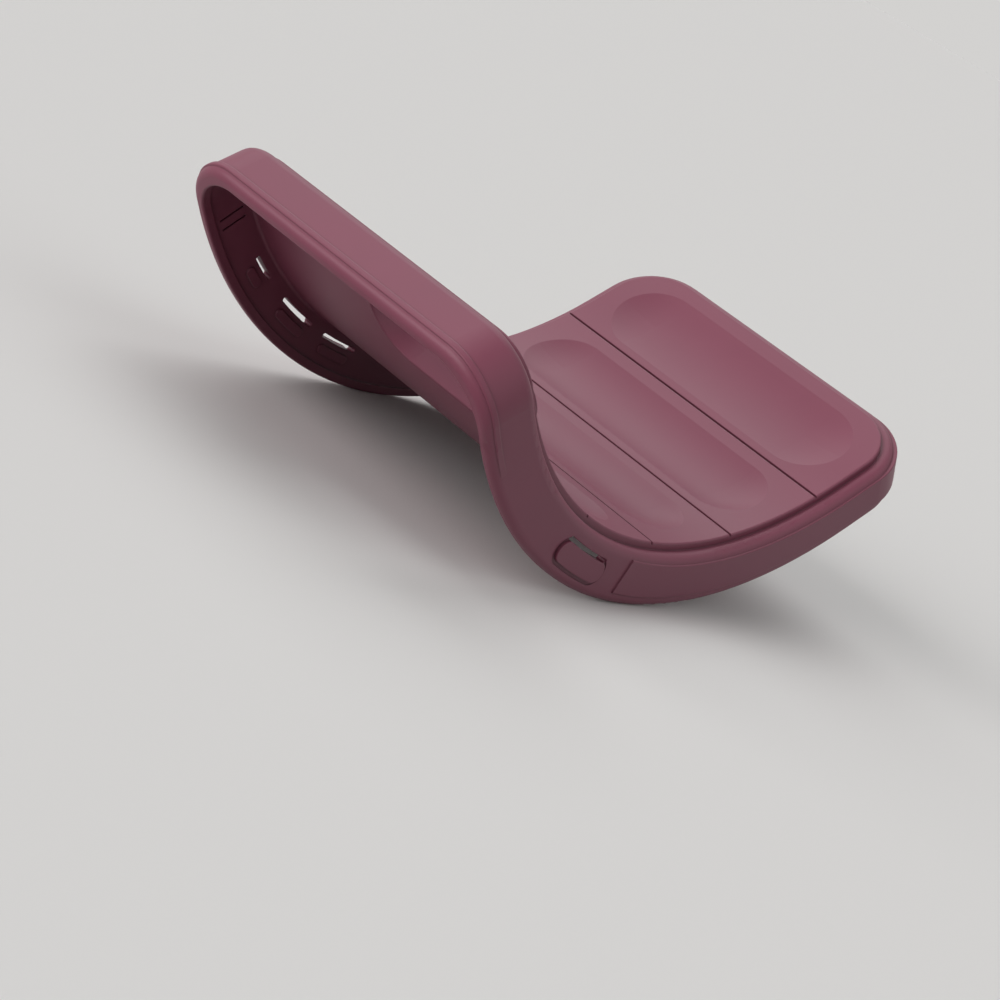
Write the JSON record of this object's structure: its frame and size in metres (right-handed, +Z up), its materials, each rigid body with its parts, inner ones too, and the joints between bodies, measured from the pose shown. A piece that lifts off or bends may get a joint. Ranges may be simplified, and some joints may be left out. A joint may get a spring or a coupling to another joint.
{
  "type": "phone case",
  "caption": "Soft moulded phone case flexed backwards into a curve, with a lipped pocket, ribbed back, camera opening and side button covers, that guards a handset from drops",
  "frame": {"origin": "middle of the bounding box, on the surface that the case lies on", "axes": "X across the case, +X the side with the single button cover; Y along the case, +Y the lower end; Z up, with the hollow of the curve and the back face upwards"},
  "size_m": [0.0766, 0.148, 0.0421],
  "materials": {
    "soft_plastic": "matte burgundy soft plastic, very finely grained"
  },
  "bodies": {
    "root": {"case_shell": "soft_plastic"}
  },
  "joints": []
}
